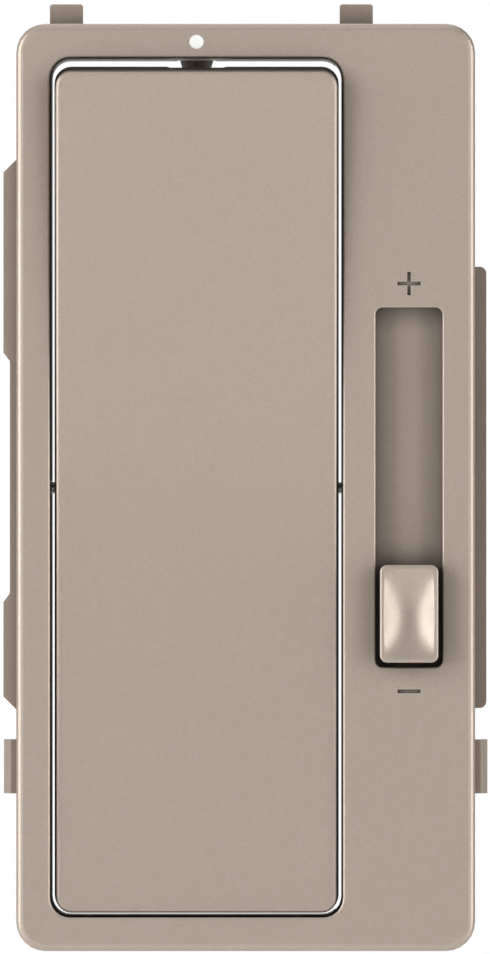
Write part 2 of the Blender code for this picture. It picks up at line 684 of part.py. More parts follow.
def rocker_cradle(plastic):
    """The moulded cradle staked inside the paddle: ribbed plate, pivot ears and actuator posts."""
    width, height = cradle_size()
    back = CRADLE_Y + CRADLE_PLATE
    cradle = box("rocker_cradle", (-width / 2, CRADLE_Y, -height / 2), (width / 2, back, height / 2), parts)
    rim_back = back + CRADLE_RIM
    for side in (1, -1):
        x = side * (width / 2 - RIB_WIDTH / 2)
        join(cradle, box(f"cradle_rim_{side}", (x - RIB_WIDTH / 2, back - EMBED, -height / 2),
                         (x + RIB_WIDTH / 2, rim_back, height / 2)))
        z = side * (height / 2 - RIB_WIDTH / 2)
        join(cradle, box(f"cradle_end_{side}", (-width / 2, back - EMBED, z - RIB_WIDTH / 2),
                         (width / 2, rim_back, z + RIB_WIDTH / 2)))
    rib_count = max(1, int((height / 2 - POST_DIAMETER) / RIB_SPACING))
    for index in range(-rib_count, rib_count + 1):
        z = index * RIB_SPACING
        join(cradle, box(f"cradle_rib_{index}", (-width / 2 + EMBED, back - EMBED, z - RIB_WIDTH / 2),
                         (width / 2 - EMBED, back + RIB_HEIGHT / 2, z + RIB_WIDTH / 2)))
    for side in (1, -1):
        ear_x = side * (width / 2 - RIB_WIDTH)
        ear = box(f"pivot_ear_{side}", (ear_x - EAR_THICKNESS / 2, back - EMBED, -EAR_HEIGHT / 2),
                  (ear_x + EAR_THICKNESS / 2, EAR_BACK, EAR_HEIGHT / 2))
        join(cradle, ear)
        post = rod(f"actuator_post_{side}", POST_DIAMETER, (0, back - EMBED, side * POST_HEIGHT_Z),
                   (0, POST_REACH, side * POST_HEIGHT_Z), 1, segments=POST_SEGMENTS)
        join(cradle, post)
    bore = PIN_DIAMETER + 2 * PIN_RUNNING_GAP
    for side in (1, -1):
        outer = side * (width / 2 + CUT_MARGIN)
        low, high = sorted((outer, side * (width / 2 - EAR_THICKNESS - RIB_WIDTH)))
        cut(cradle, rod(f"ear_bore_{side}", bore, (low, 0, 0), (high, 0, 0), 0))
        cut(cradle, rod(f"tip_socket_{side}", PLUG_DIAMETER + 2 * PIN_RUNNING_GAP,
                        (0, POST_REACH - TIP_LENGTH - SNUG_GAP, side * POST_HEIGHT_Z),
                        (0, POST_REACH + CUT_MARGIN, side * POST_HEIGHT_Z), 1, segments=BORE_SEGMENTS))
    for index, (x, z) in enumerate(stake_places()):
        cut(cradle, rod(f"stake_hole_{index}", STAKE_DIAMETER + 2 * SNUG_GAP,
                        (x, CRADLE_Y - CUT_MARGIN, z), (x, rim_back + CUT_MARGIN, z), 1,
                        segments=STAKE_SEGMENTS))
    cradle.data.materials.append(plastic)
    return cradle


def actuator_tips(rubber):
    """The soft tips that quieten the posts: a plug in each post with a round pad behind it."""
    made = []
    for name, side in (("actuator_tip_top", 1), ("actuator_tip_bottom", -1)):
        z = side * POST_HEIGHT_Z
        pad = POST_REACH + SNUG_GAP
        tip = rod(name, POST_DIAMETER, (0, pad, z), (0, pad + TIP_LENGTH, z), 1, parts,
                  end_diameter=TIP_END_DIAMETER, segments=POST_SEGMENTS)
        join(tip, rod(name + "_plug", PLUG_DIAMETER, (0, POST_REACH - TIP_LENGTH, z),
                      (0, pad + EMBED, z), 1, segments=BORE_SEGMENTS))
        tip.data.materials.append(rubber)
        made.append(tip)
    return made


def pin_spans():
    """Each pivot pin's name and its two ends in world X."""
    inner = cradle_size()[0] / 2 - PIN_INNER_LENGTH
    left = (OPENING_X - inner, OPENING_LEFT - PIN_ENGAGEMENT)
    right = (OPENING_X + inner, OPENING_RIGHT + PIN_ENGAGEMENT)
    return [("pivot_pin_left", *left), ("pivot_pin_right", *right)]


def pivot_pins(steel):
    made = []
    for name, start, end in pin_spans():
        low, high = sorted((start - OPENING_X, end - OPENING_X))
        pin = rod(name, PIN_DIAMETER, (low, 0, 0), (high, 0, 0), 0, parts)
        pin.data.materials.append(steel)
        made.append(pin)
    return made


# ---------------------------------------------------------------- slider, about the knob's centre

def slider_knob(paint):
    """The knob: a block with a dished, rimmed front and a stem behind it."""
    front = FACE_Y - KNOB_PROUD
    knob = loft("slider_knob", filleted_sections(front, CHANNEL_Y, KNOB_WIDTH, KNOB_LENGTH, SLOT_CORNER,
                                                 KNOB_FILLET), collection=parts)
    join(knob, box("knob_stem", (-STEM_WIDTH / 2, CHANNEL_Y - EMBED, -STEM_LENGTH / 2),
                   (STEM_WIDTH / 2, CARRIAGE_BACK_Y - SOCKET_FLOOR - SNUG_GAP, STEM_LENGTH / 2)))
    cut(knob, knob_dish(front),
        rod("knob_pilot", SCREW_DIAMETER + 2 * PIN_RUNNING_GAP, (0, CHANNEL_Y - FIT_GAP, 0),
            (0, CARRIAGE_BACK_Y, 0), 1, segments=BORE_SEGMENTS))
    knob.data.materials.append(paint)
    return knob


def knob_dish(front):
    """The cutter of the finger dish: a slab whose back bulges most at its middle."""
    half_x = KNOB_WIDTH / 2 - KNOB_RIM
    half_z = KNOB_LENGTH / 2 - KNOB_RIM
    builder = bmesh.new()
    bmesh.ops.create_cube(builder, size=2.0)
    bmesh.ops.subdivide_edges(builder, edges=builder.edges[:], cuts=DISH_CUTS, use_grid_fill=True)
    for vertex in builder.verts:
        u, v, depth = vertex.co.x, vertex.co.z, vertex.co.y
        bulge = KNOB_DISH * (1 - u * u) * (1 - v * v)
        reach = CUT_MARGIN - DISH_EDGE + bulge
        vertex.co = (u * half_x, front - CUT_MARGIN + (depth + 1) / 2 * reach, v * half_z)
    return link(builder, "knob_dish", tools)


def slider_shutter(paint):
    """The strip that closes the slot behind the knob wherever the knob stands."""
    strip = box("slider_shutter", (-SHUTTER_WIDTH / 2, SHUTTER_Y, -SHUTTER_LENGTH / 2),
                (SHUTTER_WIDTH / 2, SHUTTER_Y + SHUTTER_THICKNESS, SHUTTER_LENGTH / 2), parts)
    cut(strip, box("shutter_window", (-STEM_WIDTH / 2 - SNUG_GAP, SHUTTER_Y - CUT_MARGIN,
                                      -STEM_LENGTH / 2 - SNUG_GAP),
                   (STEM_WIDTH / 2 + SNUG_GAP, SHUTTER_Y + SHUTTER_THICKNESS + CUT_MARGIN,
                    STEM_LENGTH / 2 + SNUG_GAP)))
    strip.data.materials.append(paint)
    return strip


def slider_carriage(plastic):
    """The carriage behind the shutter, with the fork that drives the dimmer's lever."""
    half_width = SHUTTER_WIDTH / 2
    carriage = box("slider_carriage", (-half_width, CARRIAGE_Y, -CARRIAGE_LENGTH / 2),
                   (half_width, CARRIAGE_BACK_Y, CARRIAGE_LENGTH / 2), parts)
    for side in (1, -1):
        low, high = sorted((side * FORK_GAP / 2, side * (FORK_GAP / 2 + FORK_PRONG)))
        join(carriage, box(f"fork_prong_{side}", (-FORK_WIDTH / 2, CARRIAGE_BACK_Y - EMBED, low),
                           (FORK_WIDTH / 2, FORK_REACH, high)))
    cut(carriage, box("stem_socket", (-STEM_WIDTH / 2 - SNUG_GAP, CARRIAGE_Y - CUT_MARGIN,
                                      -STEM_LENGTH / 2 - SNUG_GAP),
                      (STEM_WIDTH / 2 + SNUG_GAP, CARRIAGE_BACK_Y - SOCKET_FLOOR,
                       STEM_LENGTH / 2 + SNUG_GAP)),
        rod("carriage_screw_hole", SCREW_DIAMETER + 2 * SNUG_GAP, (0, CARRIAGE_Y, 0),
            (0, CARRIAGE_BACK_Y + CUT_MARGIN, 0), 1, segments=BORE_SEGMENTS))
    carriage.data.materials.append(plastic)
    return carriage


def screw(name, x, z, under_head_y, length, steel, recess_turn=0.0):
    """A small pan-head screw driven from behind, with a cross recess."""
    top_y = under_head_y + SCREW_HEAD_HEIGHT
    made = rod(name, SCREW_HEAD, (x, under_head_y, z), (x, top_y, z), 1, parts,
               end_diameter=SCREW_HEAD_TOP, segments=POST_SEGMENTS)
    join(made, rod(name + "_shank", SCREW_DIAMETER, (x, under_head_y - length, z),
                   (x, top_y - SCREW_HEAD_HEIGHT / 2, z), 1, segments=BORE_SEGMENTS))
    for turn in (0, math.pi / 2):
        recess = box(f"{name}_recess_{turn:.0f}", (-RECESS_LENGTH / 2, -RECESS_DEPTH, -RECESS_WIDTH / 2),
                     (RECESS_LENGTH / 2, CUT_MARGIN, RECESS_WIDTH / 2))
        recess.location = (x, top_y, z)
        recess.rotation_euler = (0, turn + recess_turn, 0)
        cut(made, recess)
    made.data.materials.append(steel)
    return made


def friction_spring(steel):
    """The bowed leaf beside the fork that gives the slider its drag."""
    front = CARRIAGE_BACK_Y + SNUG_GAP
    rise = COVER_FRONT_Y - FIT_GAP - SPRING_THICKNESS - front
    centre_x = (FORK_WIDTH / 2 + SHUTTER_WIDTH / 2) / 2
    near = []
    far = []
    for step in range(SPRING_STEPS + 1):
        z = SPRING_LENGTH * (step / SPRING_STEPS - 0.5)
        y = front + rise * math.cos(math.pi * z / SPRING_LENGTH) ** 2
        near.append((y, z))
        far.append((y + SPRING_THICKNESS, z))
    leaf = extruded_outline("slider_friction_spring", near + far[::-1], "YZ", centre_x - SPRING_WIDTH / 2,
                            centre_x + SPRING_WIDTH / 2, parts)
    leaf.data.materials.append(steel)
    return leaf


def slider_cover(plastic):
    """The rear cover of the slider channel, whose flange lies behind the wall plate on the right."""
    left = OPENING_RIGHT + SNUG_GAP / 2
    right = FRAME_WIDTH / 2
    width = right - left
    cover = box("slider_cover", (left, COVER_FRONT_Y, -CHANNEL_HALF), (right, COVER_BACK_Y, CHANNEL_HALF),
                parts)
    reach = RIGHT_FLANGE_REACH + width / 2
    sections = [(y, reach, 2 * RIGHT_FLANGE_HALF, COVER_FLANGE_CORNER)
                for y in (COVER_FRONT_Y, COVER_BACK_Y)]
    flange = loft("right_flange", sections, (right + RIGHT_FLANGE_REACH - reach / 2, 0.0))
    join(cover, flange)
    half = FORK_GAP / 2 + FORK_PRONG + FIT_GAP
    cut(cover, box("fork_slot", (SLIDER_X - FORK_WIDTH / 2 - FIT_GAP, COVER_FRONT_Y - CUT_MARGIN,
                                 SLIDER_REST_Z - half),
                   (SLIDER_X + FORK_WIDTH / 2 + FIT_GAP, COVER_BACK_Y + CUT_MARGIN,
                    SLIDER_REST_Z + SLIDER_TRAVEL + half)))
    for name, x, z in screw_places():
        cut(cover, rod(f"{name}_hole", SCREW_DIAMETER + 2 * PIN_RUNNING_GAP,
                       (x, COVER_FRONT_Y - CUT_MARGIN, z), (x, COVER_BACK_Y + CUT_MARGIN, z), 1,
                       segments=BORE_SEGMENTS))
    cover.data.materials.append(plastic)
    return cover


def slider_stops(rubber):
    """A soft stop beyond each end of the carriage's travel."""
    made = []
    reach = SLIDER_TRAVEL / 2 + CARRIAGE_LENGTH / 2 + STOP_GAP
    half_width = FORK_WIDTH / 2 + FIT_GAP
    for name, side in (("slider_stop_top", 1), ("slider_stop_bottom", -1)):
        low, high = sorted((side * reach, side * (reach + STOP_LENGTH)))
        stop = box(name, (SLIDER_X - half_width, CARRIAGE_Y + FIT_GAP, low),
                   (SLIDER_X + half_width, COVER_FRONT_Y - SNUG_GAP, high), parts, bevel=STOP_ROUNDING)
        stop.data.materials.append(rubber)
        made.append(stop)
    return made


def build():
    clear_scene()
    paint = material("nickel_paint", (0.42, 0.36, 0.31), 0.38, 0.75)
    dark = material("dark_nickel_plastic", (0.16, 0.14, 0.125), 0.5, 0.4)
    black = material("black_acetal", (0.035, 0.035, 0.037), 0.45)
    rubber = material("grey_rubber", (0.09, 0.09, 0.095), 0.8)
    steel = material("bright_steel", (0.62, 0.61, 0.60), 0.28, 1.0)
    clear = material("milky_acrylic", (0.93, 0.93, 0.91), 0.25, 0.0, 0.3)

    face_frame(paint)
    light_pipe(clear)
    light_hood(dark)
    slider_cover(dark)
    slider_stops(rubber)
    for index, (name, x, z) in enumerate(screw_places()):
        screw(name, x, z, COVER_BACK_Y + PIN_RUNNING_GAP, SCREW_LENGTH, steel, index * SCREW_TURN)

    pivot = empty("rocker_pivot", (OPENING_X, PIVOT_Y, 0.0))
    pivot.rotation_euler = (ROCKER_TILT, 0.0, 0.0)
    carried([rocker_paddle(paint), rocker_cradle(black), *actuator_tips(rubber), *pivot_pins(steel)], pivot)

    slider = empty("slider_origin", (SLIDER_X, 0.0, SLIDER_REST_Z))
    knob_screw = screw("knob_screw", 0.0, 0.0, CARRIAGE_BACK_Y + PIN_RUNNING_GAP, KNOB_SCREW_LENGTH, steel)
    carried([slider_knob(paint), slider_shutter(paint), slider_carriage(black), knob_screw,
             friction_spring(steel)], slider)


build()
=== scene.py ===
"""Looks of the slide dimmer face cover: finishes, fine edges, studio light and camera."""
import json
import math

import bmesh
import bpy
from mathutils import Matrix, Vector


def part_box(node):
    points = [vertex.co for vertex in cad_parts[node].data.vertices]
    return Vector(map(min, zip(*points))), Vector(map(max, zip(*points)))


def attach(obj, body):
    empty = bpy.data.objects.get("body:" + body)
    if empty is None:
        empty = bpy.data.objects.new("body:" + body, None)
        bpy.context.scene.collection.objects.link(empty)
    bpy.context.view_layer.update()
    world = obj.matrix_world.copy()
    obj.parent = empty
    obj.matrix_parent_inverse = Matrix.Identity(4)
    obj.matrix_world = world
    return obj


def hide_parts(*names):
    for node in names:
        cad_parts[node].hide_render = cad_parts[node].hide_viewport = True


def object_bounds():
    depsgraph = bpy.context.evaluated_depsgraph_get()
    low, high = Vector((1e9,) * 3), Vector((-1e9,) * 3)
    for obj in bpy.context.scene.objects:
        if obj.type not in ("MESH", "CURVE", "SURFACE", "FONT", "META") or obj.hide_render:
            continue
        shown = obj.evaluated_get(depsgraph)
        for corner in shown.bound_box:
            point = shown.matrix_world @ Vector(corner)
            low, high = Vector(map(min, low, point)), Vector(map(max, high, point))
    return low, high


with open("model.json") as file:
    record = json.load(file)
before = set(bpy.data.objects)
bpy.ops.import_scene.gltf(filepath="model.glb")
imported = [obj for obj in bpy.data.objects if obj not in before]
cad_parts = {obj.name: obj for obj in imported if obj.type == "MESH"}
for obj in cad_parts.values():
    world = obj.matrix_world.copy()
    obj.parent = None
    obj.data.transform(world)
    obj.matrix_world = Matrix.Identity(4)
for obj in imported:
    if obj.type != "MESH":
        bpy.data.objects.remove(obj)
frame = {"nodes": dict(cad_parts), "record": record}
cad_low, cad_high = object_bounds()

# Lengths are in metres, texture scales in cycles per metre and light powers in watts.

# Camera: a straight front view through a long lens
VIEW_HEIGHT = 0.0686
VIEW_CENTRE_X = -0.00005
VIEW_CENTRE_Z = 0.00075
CAMERA_DISTANCE = 1.6
SENSOR_MM = 36.0
CLIP_START = 0.05
CLIP_END = 20.0

# White room
FLOOR_DROP = 0.12
FLOOR_RADIUS = 0.9
FLOOR_SIDES = 96
FLOOR_COLOUR = (0.95, 0.95, 0.95)
FLOOR_ROUGHNESS = 0.9
BACKDROP_COLOUR = (1.0, 1.0, 1.0)
BACKDROP_STRENGTH = 1.0
FILL_COLOUR = (1.0, 0.99, 0.98)
FILL_STRENGTH = 0.10

# Softboxes: name, place, width and height, power
LIGHT_TARGET = (0.0, 0.0, 0.0)
SOFTBOXES = (
    ("key_left", (-0.60, -0.46, 0.06), (0.44, 0.80), 5.35),
    ("key_right", (0.60, -0.46, -0.04), (0.44, 0.80), 4.65),
    ("edge_left", (-0.56, -0.10, 0.05), (0.26, 0.70), 1.3),
    ("edge_right", (0.58, -0.14, -0.05), (0.12, 0.70), 0.9),
    ("top_strip", (0.0, -0.12, 0.60), (0.60, 0.16), 0.6),
    ("front_fill", (-0.10, -1.25, -0.40), (0.50, 0.40), 4.3),
    ("rear_top", (0.0, 0.80, 0.80), (0.70, 0.30), 4.5),
)

# Fine edges of every piece, with the rounding of each material
SMALLEST_WELD = 1e-6
FLAT_ANGLE = math.radians(0.1)
ROUNDING_ANGLE = math.radians(40)
ROUNDING_SEGMENTS = 2
SPLIT_ANGLE = math.radians(42)
FLAT_WEIGHT = 90
ROUNDINGS = {
    "nickel_paint": 0.00004,
    "dark_plastic": 0.00006,
    "acetal": 0.00008,
    "rubber": 0.0,
    "steel": 0.00003,
    "acrylic": 0.0,
}

# Knob
KNOB_BODY = 0.0032
KNOB_CORNER = 0.00052
KNOB_FILLET = 0.00014
KNOB_RIM = 0.0003
KNOB_DISH = 0.00075
KNOB_SHARP_ANGLE = math.radians(50)
STEM_WIDTH = 0.0022
STEM_HEIGHT = 0.0032
STEM_ROUNDING = 0.00008
CORNER_STEPS = 8
FILLET_STEPS = 5
SIDE_STEP = 0.00018
DISH_RINGS = 36

# Textures. EDGE_BEND and EDGE_FLAT are cosines of the turn across an edge, at its middle and beside it.
NOISE_ROUGHNESS = 0.55
BROAD_DETAIL = 2.0
FINE_DETAIL = 3.0
DUST_DETAIL = 4.0
EDGE_SAMPLES = 6
EDGE_BEND = 0.86
EDGE_FLAT = 0.995
# Painted shade in crevices: its samples, and the openness at which it is darkest and at which it is
# gone.
PAINTED_SHADE_SAMPLES = 12
PAINTED_SHADE_CLOSED = 0.06
PAINTED_SHADE_OPEN = 0.96

# Satin nickel paint
PAINT_LIGHT = (0.480, 0.397, 0.328)
PAINT_DARK = (0.465, 0.385, 0.318)
PAINT_CLOUD_SCALE = 60.0
PAINT_CLOUD_LOW = 0.25
PAINT_CLOUD_HIGH = 0.75
PAINT_METALLIC = 0.45
PAINT_SMOOTHEST = 0.37
PAINT_ROUGHEST = 0.47
PAINT_GRAIN_SCALE = 5200.0
# Painted shade in the paint's crevices: how far it reaches, and its darkest share.
PAINT_PAINTED_SHADE_REACH = 0.0020
PAINT_PAINTED_SHADE_DARKEST = 0.10
FLAKE_COLOUR = (0.80, 0.74, 0.68)
FLAKE_SCALE = 9000.0
FLAKE_SHARE = 0.10
FLAKE_HEIGHT = 0.0000012
PEEL_SCALE = 900.0
PEEL_HEIGHT = 0.000004
# Paler edges of the paint: partly rubbed paint, partly a painted highlight.
PAINT_WEAR_AND_HIGHLIGHT_COLOUR = (0.66, 0.60, 0.545)
PAINT_WEAR_AND_HIGHLIGHT_WIDTH = 0.00018
PAINT_WEAR_AND_HIGHLIGHT_SHARE = 0.22
COAT_WEIGHT = 0.10
COAT_ROUGHNESS = 0.24

# Moulded plastics
# The dark plastic's tone is partly its own colour and partly painted shade, set to the shade these
# pieces lie in.
DARK_PLASTIC_AND_SHADE = (0.240, 0.198, 0.168)
DARK_PLASTIC_ROUGHNESS = 0.48
DARK_PLASTIC_METALLIC = 0.25
ACETAL = (0.030, 0.030, 0.033)
ACETAL_ROUGHNESS = 0.42
PLASTIC_CLOUD_SCALE = 220.0
PLASTIC_GRAIN_SCALE = 2600.0
PLASTIC_GRAIN_HEIGHT = 0.000008
PLASTIC_SMOOTHER = 0.06
PLASTIC_ROUGHER = 0.08
# Paler edges of the plastics: partly scuffs, partly a painted highlight.
PLASTIC_WEAR_AND_HIGHLIGHT_WIDTH = 0.00015
PLASTIC_WEAR_AND_HIGHLIGHT_SHARE = 0.5
PALER_GAIN = 1.08
PALER_LIFT = 0.002
SCUFF_AND_HIGHLIGHT_GAIN = 1.6
SCUFF_AND_HIGHLIGHT_LIFT = 0.02

# Rubber
RUBBER = (0.070, 0.070, 0.074)
RUBBER_DUST = (0.115, 0.112, 0.110)
RUBBER_DUST_SCALE = 1100.0
RUBBER_GRAIN_SCALE = 6000.0
RUBBER_GRAIN_HEIGHT = 0.00001
RUBBER_SMOOTHEST = 0.74
RUBBER_ROUGHEST = 0.9

# Steel
STEEL = (0.60, 0.59, 0.57)
STEEL_BRIGHT = (0.74, 0.73, 0.70)
STEEL_STRETCH = (600.0, 9000.0, 9000.0)
STEEL_LINE_HEIGHT = 0.000003
STEEL_SMOOTHEST = 0.2
STEEL_ROUGHEST = 0.36

# Acrylic
ACRYLIC = (0.95, 0.95, 0.94)
ACRYLIC_HAZE = (0.88, 0.89, 0.88)
ACRYLIC_HAZE_SCALE = 1500.0
ACRYLIC_SMOOTHEST = 0.12
ACRYLIC_ROUGHEST = 0.22
# Painted glow of the light pipe, standing in for light passed from behind.
ACRYLIC_PAINTED_GLOW_COLOUR = (1.0, 1.0, 0.98)
ACRYLIC_PAINTED_GLOW = 0.8
ACRYLIC_DEPTH_SHARE = 0.3
ACRYLIC_DEPTH = (0.001, 0.001, 0.001)


# ---------------------------------------------------------------- materials

def new_material(name):
    """A node material, its nodes, its links and its Principled shader."""
    made = bpy.data.materials.new(name)
    made.use_nodes = True
    nodes = made.node_tree.nodes
    return made, nodes, made.node_tree.links, nodes["Principled BSDF"]


def noise(nodes, links, coordinates, scale, detail=FINE_DETAIL):
    """The value of a noise texture at the coordinates."""
    node = nodes.new("ShaderNodeTexNoise")
    node.inputs["Scale"].default_value = scale
    node.inputs["Detail"].default_value = detail
    node.inputs["Roughness"].default_value = NOISE_ROUGHNESS
    links.new(coordinates, node.inputs["Vector"])
    return node.outputs["Fac"]


def spread(nodes, links, value, low, high, from_low=0.3, from_high=0.7):
    """Map a texture value onto a range."""
    node = nodes.new("ShaderNodeMapRange")
    node.inputs["From Min"].default_value = from_low
    node.inputs["From Max"].default_value = from_high
    node.inputs["To Min"].default_value = low
    node.inputs["To Max"].default_value = high
    links.new(value, node.inputs["Value"])
    return node.outputs["Result"]


def blend_colours(nodes, links, factor, first, second):
    """Mix two colours, each a tuple or a socket."""
    node = nodes.new("ShaderNodeMix")
    node.data_type = "RGBA"
    links.new(factor, node.inputs["Factor"])
    for socket, colour in ((node.inputs["A"], first), (node.inputs["B"], second)):
        if isinstance(colour, tuple):
            socket.default_value = (*colour, 1.0)
        else:
            links.new(colour, socket)
    return node.outputs["Result"]


def bump(nodes, links, height, distance, normal=None):
    """A normal tilted by a height, over another normal where one is given."""
    node = nodes.new("ShaderNodeBump")
    node.inputs["Distance"].default_value = distance
    node.inputs["Strength"].default_value = 1.0
    links.new(height, node.inputs["Height"])
    if normal is not None:
        links.new(normal, node.inputs["Normal"])
    return node.outputs["Normal"]


def edge_mask(nodes, links, radius):
    """Near 1 on convex and concave edges, and 0 on the flats between them."""
    rounded = nodes.new("ShaderNodeBevel")
    rounded.samples = EDGE_SAMPLES
    rounded.inputs["Radius"].default_value = radius
    geometry = nodes.new("ShaderNodeNewGeometry")
    facing = nodes.new("ShaderNodeVectorMath")
    facing.operation = "DOT_PRODUCT"
    links.new(rounded.outputs["Normal"], facing.inputs[0])
    links.new(geometry.outputs["Normal"], facing.inputs[1])
    return spread(nodes, links, facing.outputs["Value"], 1.0, 0.0, EDGE_BEND, EDGE_FLAT)


def painted_crevice_shade(nodes, links, colour, reach, darkest):
    """Darken a colour where close walls hem it in: painted shade in crevices, recesses and beside
    raised parts.
    """
    hemmed = nodes.new("ShaderNodeAmbientOcclusion")
    hemmed.samples = PAINTED_SHADE_SAMPLES
    hemmed.inputs["Distance"].default_value = reach
    painted_shade_factor = spread(nodes, links, hemmed.outputs["AO"], darkest, 1.0, PAINTED_SHADE_CLOSED, PAINTED_SHADE_OPEN)
    with_painted_shade = nodes.new("ShaderNodeVectorMath")
    with_painted_shade.operation = "SCALE"
    links.new(colour, with_painted_shade.inputs[0])
    links.new(painted_shade_factor, with_painted_shade.inputs["Scale"])
    return with_painted_shade.outputs["Vector"]


def edge_wear_and_highlight(nodes, links, width, share):
    """How far the edges of a piece are paled, partly by rubbing and partly as a painted highlight, from
    0 on its flats to a share on its edges.
    """
    return spread(nodes, links, edge_mask(nodes, links, width), 0.0, share, 0.0, 1.0)


def nickel_paint():
    """Satin metallic paint: fine flake, orange peel, paler edges that are partly rubbed paint and
    partly a painted highlight, and painted shade in its crevices.
    """
    made, nodes, links, shader = new_material("nickel_paint")
    place = nodes.new("ShaderNodeTexCoord").outputs["Object"]
    clouds = noise(nodes, links, place, PAINT_CLOUD_SCALE, BROAD_DETAIL)
    cloud = spread(nodes, links, clouds, PAINT_CLOUD_LOW, PAINT_CLOUD_HIGH)
    tone = blend_colours(nodes, links, cloud, PAINT_DARK, PAINT_LIGHT)
    cells = nodes.new("ShaderNodeTexVoronoi")
    cells.inputs["Scale"].default_value = FLAKE_SCALE
    links.new(place, cells.inputs["Vector"])
    flake = nodes.new("ShaderNodeSeparateColor")
    links.new(cells.outputs["Color"], flake.inputs["Color"])
    flakes = spread(nodes, links, flake.outputs["Red"], 0.0, FLAKE_SHARE, 0.0, 1.0)
    flaked = blend_colours(nodes, links, flakes, tone, FLAKE_COLOUR)
    # Paler edges: partly rubbing, partly a painted highlight.
    wear_and_highlight = edge_wear_and_highlight(nodes, links, PAINT_WEAR_AND_HIGHLIGHT_WIDTH, PAINT_WEAR_AND_HIGHLIGHT_SHARE)
    worn_and_highlit = blend_colours(nodes, links, wear_and_highlight, flaked, PAINT_WEAR_AND_HIGHLIGHT_COLOUR)
    # Painted shade darkens the paint in its crevices and beside raised parts.
    with_painted_shade = painted_crevice_shade(nodes, links, worn_and_highlit, PAINT_PAINTED_SHADE_REACH, PAINT_PAINTED_SHADE_DARKEST)
    links.new(with_painted_shade, shader.inputs["Base Color"])
    grain = noise(nodes, links, place, PAINT_GRAIN_SCALE, BROAD_DETAIL)
    roughness = spread(nodes, links, grain, PAINT_SMOOTHEST, PAINT_ROUGHEST)
    links.new(roughness, shader.inputs["Roughness"])
    peel = bump(nodes, links, noise(nodes, links, place, PEEL_SCALE, BROAD_DETAIL), PEEL_HEIGHT)
    sparkle = bump(nodes, links, flake.outputs["Green"], FLAKE_HEIGHT, normal=peel)
    links.new(sparkle, shader.inputs["Normal"])
    shader.inputs["Metallic"].default_value = PAINT_METALLIC
    shader.inputs["Coat Weight"].default_value = COAT_WEIGHT
    shader.inputs["Coat Roughness"].default_value = COAT_ROUGHNESS
    return made


def moulded_plastic(name, colour, roughness, metallic=0.0):
    """Moulded plastic with a fine spark-eroded grain, and edges paled partly by scuffs and partly as a
    painted highlight.
    """
    made, nodes, links, shader = new_material(name)
    place = nodes.new("ShaderNodeTexCoord").outputs["Object"]
    cloud = spread(nodes, links, noise(nodes, links, place, PLASTIC_CLOUD_SCALE), 0.0, 1.0)
    paler = tuple(channel * PALER_GAIN + PALER_LIFT for channel in colour)
    tone = blend_colours(nodes, links, cloud, colour, paler)
    # Paler edges: partly scuffs, partly a painted highlight.
    scuffed_and_highlit = tuple(min(channel * SCUFF_AND_HIGHLIGHT_GAIN + SCUFF_AND_HIGHLIGHT_LIFT, 1.0) for channel in colour)
    wear_and_highlight = edge_wear_and_highlight(nodes, links, PLASTIC_WEAR_AND_HIGHLIGHT_WIDTH, PLASTIC_WEAR_AND_HIGHLIGHT_SHARE)
    links.new(blend_colours(nodes, links, wear_and_highlight, tone, scuffed_and_highlit), shader.inputs["Base Color"])
    grain = noise(nodes, links, place, PLASTIC_GRAIN_SCALE)
    smoothest = roughness - PLASTIC_SMOOTHER
    roughest = roughness + PLASTIC_ROUGHER
    links.new(spread(nodes, links, grain, smoothest, roughest), shader.inputs["Roughness"])
    links.new(bump(nodes, links, grain, PLASTIC_GRAIN_HEIGHT), shader.inputs["Normal"])
    shader.inputs["Metallic"].default_value = metallic
    return made


def soft_rubber():
    """Matt rubber with a dusty bloom."""
    made, nodes, links, shader = new_material("soft_rubber")
    place = nodes.new("ShaderNodeTexCoord").outputs["Object"]
    dust = spread(nodes, links, noise(nodes, links, place, RUBBER_DUST_SCALE, DUST_DETAIL), 0.0, 1.0)
    links.new(blend_colours(nodes, links, dust, RUBBER, RUBBER_DUST), shader.inputs["Base Color"])
    grain = noise(nodes, links, place, RUBBER_GRAIN_SCALE, BROAD_DETAIL)
    roughness = spread(nodes, links, grain, RUBBER_SMOOTHEST, RUBBER_ROUGHEST)
    links.new(roughness, shader.inputs["Roughness"])
    links.new(bump(nodes, links, grain, RUBBER_GRAIN_HEIGHT), shader.inputs["Normal"])
    return made


def bright_steel():
    """Plated steel with fine drawn lines."""
    made, nodes, links, shader = new_material("bright_steel")
    place = nodes.new("ShaderNodeTexCoord").outputs["Object"]
    stretch = nodes.new("ShaderNodeMapping")
    stretch.inputs["Scale"].default_value = STEEL_STRETCH
    links.new(place, stretch.inputs["Vector"])
    lines = noise(nodes, links, stretch.outputs["Vector"], 1.0)
    tone = blend_colours(nodes, links, spread(nodes, links, lines, 0.0, 1.0), STEEL, STEEL_BRIGHT)
    links.new(tone, shader.inputs["Base Color"])
    roughness = spread(nodes, links, lines, STEEL_SMOOTHEST, STEEL_ROUGHEST)
    links.new(roughness, shader.inputs["Roughness"])
    links.new(bump(nodes, links, lines, STEEL_LINE_HEIGHT), shader.inputs["Normal"])
    shader.inputs["Metallic"].default_value = 1.0
    return made


